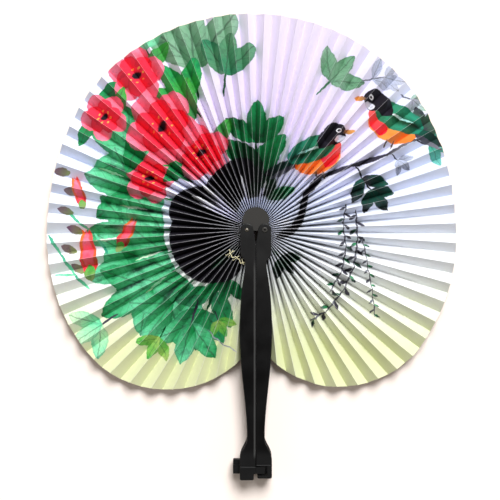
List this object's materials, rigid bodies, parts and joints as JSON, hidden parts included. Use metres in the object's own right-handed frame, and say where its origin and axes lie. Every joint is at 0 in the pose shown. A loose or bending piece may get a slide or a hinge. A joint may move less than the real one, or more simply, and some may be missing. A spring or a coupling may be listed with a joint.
{
  "type": "folding hand fan",
  "caption": "Pocket folding paper fan opened to a full disc, with a pleated printed leaf between two black arms that swing back to back to form the handle.",
  "frame": {"origin": "midway between the two rivets, on the rear face of the arms", "axes": "+X to the right seen from the printed side, +Y away from the handle in the open position, +Z out of the printed side"},
  "size_m": [0.2537, 0.288, 0.0143],
  "materials": {
    "hub": "satin",
    "arm": "satin",
    "rivet": "satin",
    "leaf": "matte",
    "thread": "satin"
  },
  "bodies": {
    "hub": {"hub_rear_plate": "hub", "hub_front_plate": "hub", "left_rivet": "rivet", "right_rivet": "rivet"},
    "left_arm": {"left_arm": "arm", "left_end_flap": "leaf"},
    "left_fold_01": {"left_leaf_01": "leaf"},
    "left_fold_02": {"left_leaf_02": "leaf"},
    "left_fold_03": {"left_leaf_03": "leaf"},
    "left_fold_04": {"left_leaf_04": "leaf"},
    "left_fold_05": {"left_leaf_05": "leaf"},
    "left_fold_06": {"left_leaf_06": "leaf"},
    "left_fold_07": {"left_leaf_07": "leaf"},
    "left_fold_08": {"left_leaf_08": "leaf"},
    "left_fold_09": {"left_leaf_09": "leaf"},
    "left_fold_10": {"left_leaf_10": "leaf"},
    "left_fold_11": {"left_leaf_11": "leaf"},
    "left_fold_12": {"left_leaf_12": "leaf"},
    "left_fold_13": {"left_leaf_13": "leaf", "gather_thread_13": "thread"},
    "left_fold_14": {"left_leaf_14": "leaf", "gather_thread_14": "thread"},
    "left_fold_15": {"left_leaf_15": "leaf", "gather_thread_15": "thread"},
    "left_fold_16": {"left_leaf_16": "leaf"},
    "right_arm": {"right_arm": "arm", "right_end_flap": "leaf"},
    "right_fold_01": {"right_leaf_01": "leaf"},
    "right_fold_02": {"right_leaf_02": "leaf"},
    "right_fold_03": {"right_leaf_03": "leaf"},
    "right_fold_04": {"right_leaf_04": "leaf"},
    "right_fold_05": {"right_leaf_05": "leaf"},
    "right_fold_06": {"right_leaf_06": "leaf"},
    "right_fold_07": {"right_leaf_07": "leaf"},
    "right_fold_08": {"right_leaf_08": "leaf"},
    "right_fold_09": {"right_leaf_09": "leaf"},
    "right_fold_10": {"right_leaf_10": "leaf"},
    "right_fold_11": {"right_leaf_11": "leaf"},
    "right_fold_12": {"right_leaf_12": "leaf"},
    "right_fold_13": {"right_leaf_13": "leaf"},
    "right_fold_14": {"right_leaf_14": "leaf"},
    "right_fold_15": {"right_leaf_15": "leaf"},
    "right_fold_16": {"right_leaf_16": "leaf"}
  },
  "joints": [
    {"name": "left_arm_fold", "type": "hinge", "parent": "hub", "child": "left_arm", "pos_m": [-0.0055, 0, 0], "axis": [0, 0, -1], "range_deg": [0, 180], "deforming": ["left_end_flap"]},
    {"name": "left_pleats_01", "type": "hinge", "parent": "hub", "child": "left_fold_01", "pos_m": [-0.00021, 0, 0], "axis": [0, 0, -1], "range_deg": [0, 4.36], "deforming": ["left_leaf_01"]},
    {"name": "left_pleats_02", "type": "hinge", "parent": "hub", "child": "left_fold_02", "pos_m": [-0.00062, 0, 0], "axis": [0, 0, -1], "range_deg": [0, 13.24], "deforming": ["left_leaf_02"]},
    {"name": "left_pleats_03", "type": "hinge", "parent": "hub", "child": "left_fold_03", "pos_m": [-0.00103, 0, 0], "axis": [0, 0, -1], "range_deg": [0, 22.43], "deforming": ["left_leaf_03"]},
    {"name": "left_pleats_04", "type": "hinge", "parent": "hub", "child": "left_fold_04", "pos_m": [-0.00144, 0, 0], "axis": [0, 0, -1], "range_deg": [0, 31.93], "deforming": ["left_leaf_04"]},
    {"name": "left_pleats_05", "type": "hinge", "parent": "hub", "child": "left_fold_05", "pos_m": [-0.00186, 0, 0], "axis": [0, 0, -1], "range_deg": [0, 41.75], "deforming": ["left_leaf_05"]},
    {"name": "left_pleats_06", "type": "hinge", "parent": "hub", "child": "left_fold_06", "pos_m": [-0.00227, 0, 0], "axis": [0, 0, -1], "range_deg": [0, 51.91], "deforming": ["left_leaf_06"]},
    {"name": "left_pleats_07", "type": "hinge", "parent": "hub", "child": "left_fold_07", "pos_m": [-0.00268, 0, 0], "axis": [0, 0, -1], "range_deg": [0, 62.41], "deforming": ["left_leaf_07"]},
    {"name": "left_pleats_08", "type": "hinge", "parent": "hub", "child": "left_fold_08", "pos_m": [-0.00309, 0, 0], "axis": [0, 0, -1], "range_deg": [0, 73.28], "deforming": ["left_leaf_08"]},
    {"name": "left_pleats_09", "type": "hinge", "parent": "hub", "child": "left_fold_09", "pos_m": [-0.00351, 0, 0], "axis": [0, 0, -1], "range_deg": [0, 84.51], "deforming": ["left_leaf_09"]},
    {"name": "left_pleats_10", "type": "hinge", "parent": "hub", "child": "left_fold_10", "pos_m": [-0.00392, 0, 0], "axis": [0, 0, -1], "range_deg": [0, 96.09], "deforming": ["left_leaf_10"]},
    {"name": "left_pleats_11", "type": "hinge", "parent": "hub", "child": "left_fold_11", "pos_m": [-0.00433, 0, 0], "axis": [0, 0, -1], "range_deg": [0, 107.97], "deforming": ["left_leaf_11"]},
    {"name": "left_pleats_12", "type": "hinge", "parent": "hub", "child": "left_fold_12", "pos_m": [-0.00474, 0, 0], "axis": [0, 0, -1], "range_deg": [0, 120.08], "deforming": ["left_leaf_12"]},
    {"name": "left_pleats_13", "type": "hinge", "parent": "hub", "child": "left_fold_13", "pos_m": [-0.00516, 0, 0], "axis": [0, 0, -1], "range_deg": [0, 132.35], "deforming": ["left_leaf_13", "gather_thread_13"]},
    {"name": "left_pleats_14", "type": "hinge", "parent": "hub", "child": "left_fold_14", "pos_m": [-0.00557, 0, 0], "axis": [0, 0, -1], "range_deg": [0, 144.79], "deforming": ["left_leaf_14", "gather_thread_14"]},
    {"name": "left_pleats_15", "type": "hinge", "parent": "hub", "child": "left_fold_15", "pos_m": [-0.00598, 0, 0], "axis": [0, 0, -1], "range_deg": [0, 157.45], "deforming": ["left_leaf_15", "gather_thread_15"]},
    {"name": "left_pleats_16", "type": "hinge", "parent": "hub", "child": "left_fold_16", "pos_m": [-0.00639, 0, 0], "axis": [0, 0, -1], "range_deg": [0, 170.4], "deforming": ["left_leaf_16"]},
    {"name": "right_arm_fold", "type": "hinge", "parent": "hub", "child": "right_arm", "pos_m": [0.0055, 0, 0], "axis": [0, 0, 1], "range_deg": [0, 180], "deforming": ["right_end_flap"]},
    {"name": "right_pleats_01", "type": "hinge", "parent": "hub", "child": "right_fold_01", "pos_m": [0.00021, 0, 0], "axis": [0, 0, 1], "range_deg": [0, 4.36], "deforming": ["right_leaf_01"]},
    {"name": "right_pleats_02", "type": "hinge", "parent": "hub", "child": "right_fold_02", "pos_m": [0.00062, 0, 0], "axis": [0, 0, 1], "range_deg": [0, 13.24], "deforming": ["right_leaf_02"]},
    {"name": "right_pleats_03", "type": "hinge", "parent": "hub", "child": "right_fold_03", "pos_m": [0.00103, 0, 0], "axis": [0, 0, 1], "range_deg": [0, 22.42], "deforming": ["right_leaf_03"]},
    {"name": "right_pleats_04", "type": "hinge", "parent": "hub", "child": "right_fold_04", "pos_m": [0.00144, 0, 0], "axis": [0, 0, 1], "range_deg": [0, 31.91], "deforming": ["right_leaf_04"]},
    {"name": "right_pleats_05", "type": "hinge", "parent": "hub", "child": "right_fold_05", "pos_m": [0.00186, 0, 0], "axis": [0, 0, 1], "range_deg": [0, 41.72], "deforming": ["right_leaf_05"]},
    {"name": "right_pleats_06", "type": "hinge", "parent": "hub", "child": "right_fold_06", "pos_m": [0.00227, 0, 0], "axis": [0, 0, 1], "range_deg": [0, 51.87], "deforming": ["right_leaf_06"]},
    {"name": "right_pleats_07", "type": "hinge", "parent": "hub", "child": "right_fold_07", "pos_m": [0.00268, 0, 0], "axis": [0, 0, 1], "range_deg": [0, 62.38], "deforming": ["right_leaf_07"]},
    {"name": "right_pleats_08", "type": "hinge", "parent": "hub", "child": "right_fold_08", "pos_m": [0.00309, 0, 0], "axis": [0, 0, 1], "range_deg": [0, 73.24], "deforming": ["right_leaf_08"]},
    {"name": "right_pleats_09", "type": "hinge", "parent": "hub", "child": "right_fold_09", "pos_m": [0.00351, 0, 0], "axis": [0, 0, 1], "range_deg": [0, 84.47], "deforming": ["right_leaf_09"]},
    {"name": "right_pleats_10", "type": "hinge", "parent": "hub", "child": "right_fold_10", "pos_m": [0.00392, 0, 0], "axis": [0, 0, 1], "range_deg": [0, 96.07], "deforming": ["right_leaf_10"]},
    {"name": "right_pleats_11", "type": "hinge", "parent": "hub", "child": "right_fold_11", "pos_m": [0.00433, 0, 0], "axis": [0, 0, 1], "range_deg": [0, 107.97], "deforming": ["right_leaf_11"]},
    {"name": "right_pleats_12", "type": "hinge", "parent": "hub", "child": "right_fold_12", "pos_m": [0.00474, 0, 0], "axis": [0, 0, 1], "range_deg": [0, 120.08], "deforming": ["right_leaf_12"]},
    {"name": "right_pleats_13", "type": "hinge", "parent": "hub", "child": "right_fold_13", "pos_m": [0.00516, 0, 0], "axis": [0, 0, 1], "range_deg": [0, 132.35], "deforming": ["right_leaf_13"]},
    {"name": "right_pleats_14", "type": "hinge", "parent": "hub", "child": "right_fold_14", "pos_m": [0.00557, 0, 0], "axis": [0, 0, 1], "range_deg": [0, 144.8], "deforming": ["right_leaf_14"]},
    {"name": "right_pleats_15", "type": "hinge", "parent": "hub", "child": "right_fold_15", "pos_m": [0.00598, 0, 0], "axis": [0, 0, 1], "range_deg": [0, 157.45], "deforming": ["right_leaf_15"]},
    {"name": "right_pleats_16", "type": "hinge", "parent": "hub", "child": "right_fold_16", "pos_m": [0.00639, 0, 0], "axis": [0, 0, 1], "range_deg": [0, 170.4], "deforming": ["right_leaf_16"]}
  ],
  "couplings": [
    {"joint": "left_pleats_01", "follows": "left_arm_fold", "ratio": 0.024092},
    {"joint": "left_pleats_02", "follows": "left_arm_fold", "ratio": 0.073471},
    {"joint": "left_pleats_03", "follows": "left_arm_fold", "ratio": 0.1245},
    {"joint": "left_pleats_04", "follows": "left_arm_fold", "ratio": 0.17726},
    {"joint": "left_pleats_05", "follows": "left_arm_fold", "ratio": 0.23183},
    {"joint": "left_pleats_06", "follows": "left_arm_fold", "ratio": 0.28826},
    {"joint": "left_pleats_07", "follows": "left_arm_fold", "ratio": 0.34664},
    {"joint": "left_pleats_08", "follows": "left_arm_fold", "ratio": 0.407},
    {"joint": "left_pleats_09", "follows": "left_arm_fold", "ratio": 0.46937},
    {"joint": "left_pleats_10", "follows": "left_arm_fold", "ratio": 0.53373},
    {"joint": "left_pleats_11", "follows": "left_arm_fold", "ratio": 0.59975},
    {"joint": "left_pleats_12", "follows": "left_arm_fold", "ratio": 0.66698},
    {"joint": "left_pleats_13", "follows": "left_arm_fold", "ratio": 0.73516},
    {"joint": "left_pleats_14", "follows": "left_arm_fold", "ratio": 0.8043},
    {"joint": "left_pleats_15", "follows": "left_arm_fold", "ratio": 0.8746},
    {"joint": "left_pleats_16", "follows": "left_arm_fold", "ratio": 0.94653},
    {"joint": "right_pleats_01", "follows": "right_arm_fold", "ratio": 0.02409},
    {"joint": "right_pleats_02", "follows": "right_arm_fold", "ratio": 0.073451},
    {"joint": "right_pleats_03", "follows": "right_arm_fold", "ratio": 0.12445},
    {"joint": "right_pleats_04", "follows": "right_arm_fold", "ratio": 0.17716},
    {"joint": "right_pleats_05", "follows": "right_arm_fold", "ratio": 0.23168},
    {"joint": "right_pleats_06", "follows": "right_arm_fold", "ratio": 0.28808},
    {"joint": "right_pleats_07", "follows": "right_arm_fold", "ratio": 0.34643},
    {"joint": "right_pleats_08", "follows": "right_arm_fold", "ratio": 0.4068},
    {"joint": "right_pleats_09", "follows": "right_arm_fold", "ratio": 0.4692},
    {"joint": "right_pleats_10", "follows": "right_arm_fold", "ratio": 0.53361},
    {"joint": "right_pleats_11", "follows": "right_arm_fold", "ratio": 0.5997},
    {"joint": "right_pleats_12", "follows": "right_arm_fold", "ratio": 0.66698},
    {"joint": "right_pleats_13", "follows": "right_arm_fold", "ratio": 0.73518},
    {"joint": "right_pleats_14", "follows": "right_arm_fold", "ratio": 0.80431},
    {"joint": "right_pleats_15", "follows": "right_arm_fold", "ratio": 0.8746},
    {"joint": "right_pleats_16", "follows": "right_arm_fold", "ratio": 0.94653}
  ]
}
